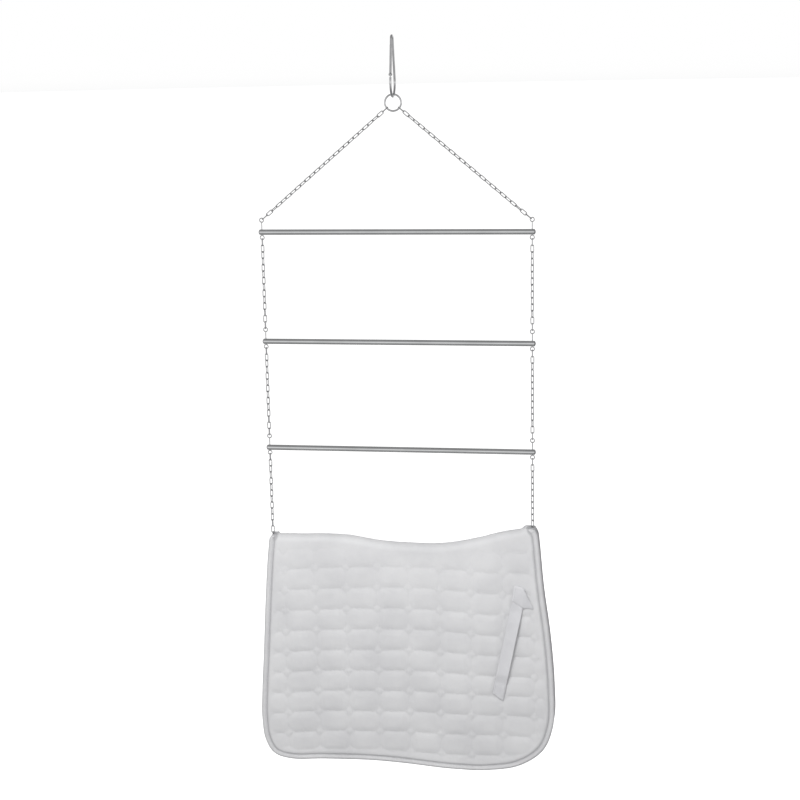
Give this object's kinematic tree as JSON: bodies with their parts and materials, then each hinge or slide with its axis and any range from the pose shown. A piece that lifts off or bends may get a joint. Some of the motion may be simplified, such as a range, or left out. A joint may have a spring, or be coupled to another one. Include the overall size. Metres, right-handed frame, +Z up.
{
  "type": "quilt on a rack",
  "caption": "Quilted saddle pad draped over the lowest bar of a chain-hung chrome blanket rack with a spring snap hook and ring at the top.",
  "frame": {"origin": "the point inside the snap hook's top bow that rests on what the rack is hung from", "axes": "+Z up, X along the bars with the front of the pad towards +X, -Y towards the side that faces the viewer"},
  "size_m": [0.6577, 0.064, 1.6391],
  "materials": {
    "hook_chrome": "polished",
    "bar_chrome": "polished",
    "chain_steel": "bright plated",
    "spring_steel": "satin",
    "quilted_cover": "quilted cotton",
    "wadding": "lofted fibre",
    "lining": "cotton",
    "binding": "folded tape",
    "webbing": "woven webbing"
  },
  "bodies": {
    "hook": {"snap_hook": "hook_chrome", "gate_rivet": "hook_chrome"},
    "gate_arm": {"gate": "hook_chrome", "gate_spring": "spring_steel"},
    "ring": {"o_ring": "hook_chrome"},
    "top_frame": {"left_sling_chain": "chain_steel", "right_sling_chain": "chain_steel", "bar_1": "bar_chrome", "bar_1_end_caps": "bar_chrome", "bar_1_hanger_pins": "chain_steel"},
    "tier_1_left_top": {"tier_1_left_link": "chain_steel"},
    "tier_1_right_top": {"tier_1_right_link": "chain_steel"},
    "tier_1_left_run": {"tier_1_left_chain": "chain_steel"},
    "tier_1_right_run": {"tier_1_right_chain": "chain_steel"},
    "bar_2_frame": {"bar_2": "bar_chrome", "bar_2_end_caps": "bar_chrome", "bar_2_hanger_pins": "chain_steel"},
    "tier_2_left_top": {"tier_2_left_link": "chain_steel"},
    "tier_2_right_top": {"tier_2_right_link": "chain_steel"},
    "tier_2_left_run": {"tier_2_left_chain": "chain_steel"},
    "tier_2_right_run": {"tier_2_right_chain": "chain_steel"},
    "bar_3_frame": {"bar_3": "bar_chrome", "bar_3_end_caps": "bar_chrome", "bar_3_hanger_pins": "chain_steel"},
    "tier_3_left_top": {"tier_3_left_link": "chain_steel"},
    "tier_3_right_top": {"tier_3_right_link": "chain_steel"},
    "tier_3_left_run": {"tier_3_left_chain": "chain_steel"},
    "tier_3_right_run": {"tier_3_right_chain": "chain_steel"},
    "bar_4_frame": {"bar_4": "bar_chrome", "bar_4_end_caps": "bar_chrome", "bar_4_hanger_pins": "chain_steel", "pad_spine": "quilted_cover"},
    "front_flap": {"front_lining": "lining", "front_wadding": "wadding", "front_cover": "quilted_cover", "front_binding": "binding", "front_girth_strap": "webbing"},
    "back_flap": {"back_lining": "lining", "back_wadding": "wadding", "back_cover": "quilted_cover", "back_binding": "binding", "back_girth_strap": "webbing"}
  },
  "joints": [
    {"name": "gate_hinge", "type": "hinge", "parent": "hook", "child": "gate_arm", "pos_m": [0, -0.02644, -0.07654], "axis": [-1, 0, 0], "range_deg": [0, 18], "stiffness_Nm_per_rad": 0.02, "springref_deg": -20.05},
    {"name": "ring_swing", "type": "hinge", "parent": "hook", "child": "ring", "pos_m": [0, 0, -0.1178], "axis": [1, 0, 0], "range_deg": [-25, 25]},
    {"name": "rack_sway", "type": "hinge", "parent": "ring", "child": "top_frame", "pos_m": [0, 0, -0.1351], "axis": [0, 1, 0], "range_deg": [-12, 12]},
    {"name": "tier_1_swing", "type": "hinge", "parent": "top_frame", "child": "tier_1_left_top", "pos_m": [-0.2925, 0, -0.42352], "axis": [1, 0, 0], "range_deg": [-20, 20]},
    {"name": "tier_1_right_swing", "type": "hinge", "parent": "top_frame", "child": "tier_1_right_top", "pos_m": [0.2925, 0, -0.42352], "axis": [1, 0, 0], "range_deg": [-20, 20]},
    {"name": "tier_1_sway", "type": "hinge", "parent": "tier_1_left_top", "child": "tier_1_left_run", "pos_m": [-0.2925, 0, -0.43742], "axis": [0, 1, 0], "range_deg": [-12, 12]},
    {"name": "tier_1_right_sway", "type": "hinge", "parent": "tier_1_right_top", "child": "tier_1_right_run", "pos_m": [0.2925, 0, -0.43742], "axis": [0, 1, 0], "range_deg": [-12, 12]},
    {"name": "bar_2_level", "type": "hinge", "parent": "tier_1_left_run", "child": "bar_2_frame", "pos_m": [-0.2925, 0, -0.61942], "axis": [0, 1, 0], "range_deg": [-12, 12]},
    {"name": "tier_2_swing", "type": "hinge", "parent": "bar_2_frame", "child": "tier_2_left_top", "pos_m": [-0.2925, 0, -0.66352], "axis": [1, 0, 0], "range_deg": [-20, 20]},
    {"name": "tier_2_right_swing", "type": "hinge", "parent": "bar_2_frame", "child": "tier_2_right_top", "pos_m": [0.2925, 0, -0.66352], "axis": [1, 0, 0], "range_deg": [-20, 20]},
    {"name": "tier_2_sway", "type": "hinge", "parent": "tier_2_left_top", "child": "tier_2_left_run", "pos_m": [-0.2925, 0, -0.67742], "axis": [0, 1, 0], "range_deg": [-12, 12]},
    {"name": "tier_2_right_sway", "type": "hinge", "parent": "tier_2_right_top", "child": "tier_2_right_run", "pos_m": [0.2925, 0, -0.67742], "axis": [0, 1, 0], "range_deg": [-12, 12]},
    {"name": "bar_3_level", "type": "hinge", "parent": "tier_2_left_run", "child": "bar_3_frame", "pos_m": [-0.2925, 0, -0.85942], "axis": [0, 1, 0], "range_deg": [-12, 12]},
    {"name": "tier_3_swing", "type": "hinge", "parent": "bar_3_frame", "child": "tier_3_left_top", "pos_m": [-0.2925, 0, -0.90352], "axis": [1, 0, 0], "range_deg": [-20, 20]},
    {"name": "tier_3_right_swing", "type": "hinge", "parent": "bar_3_frame", "child": "tier_3_right_top", "pos_m": [0.2925, 0, -0.90352], "axis": [1, 0, 0], "range_deg": [-20, 20]},
    {"name": "tier_3_sway", "type": "hinge", "parent": "tier_3_left_top", "child": "tier_3_left_run", "pos_m": [-0.2925, 0, -0.91742], "axis": [0, 1, 0], "range_deg": [-12, 12]},
    {"name": "tier_3_right_sway", "type": "hinge", "parent": "tier_3_right_top", "child": "tier_3_right_run", "pos_m": [0.2925, 0, -0.91742], "axis": [0, 1, 0], "range_deg": [-12, 12]},
    {"name": "bar_4_level", "type": "hinge", "parent": "tier_3_left_run", "child": "bar_4_frame", "pos_m": [-0.2925, 0, -1.09942], "axis": [0, 1, 0], "range_deg": [-12, 12]},
    {"name": "front_flap_lift", "type": "hinge", "parent": "bar_4_frame", "child": "front_flap", "pos_m": [0, -0.0123, -1.13392], "axis": [-1, 0, 0], "range_deg": [0, 75]},
    {"name": "back_flap_lift", "type": "hinge", "parent": "bar_4_frame", "child": "back_flap", "pos_m": [0, 0.0123, -1.13392], "axis": [1, 0, 0], "range_deg": [0, 75]}
  ],
  "couplings": [
    {"joint": "tier_1_right_swing", "follows": "tier_1_swing", "ratio": 1},
    {"joint": "tier_1_right_sway", "follows": "tier_1_sway", "ratio": 1},
    {"joint": "bar_2_level", "follows": "tier_1_sway", "ratio": -1},
    {"joint": "tier_2_right_swing", "follows": "tier_2_swing", "ratio": 1},
    {"joint": "tier_2_right_sway", "follows": "tier_2_sway", "ratio": 1},
    {"joint": "bar_3_level", "follows": "tier_2_sway", "ratio": -1},
    {"joint": "tier_3_right_swing", "follows": "tier_3_swing", "ratio": 1},
    {"joint": "tier_3_right_sway", "follows": "tier_3_sway", "ratio": 1},
    {"joint": "bar_4_level", "follows": "tier_3_sway", "ratio": -1}
  ]
}
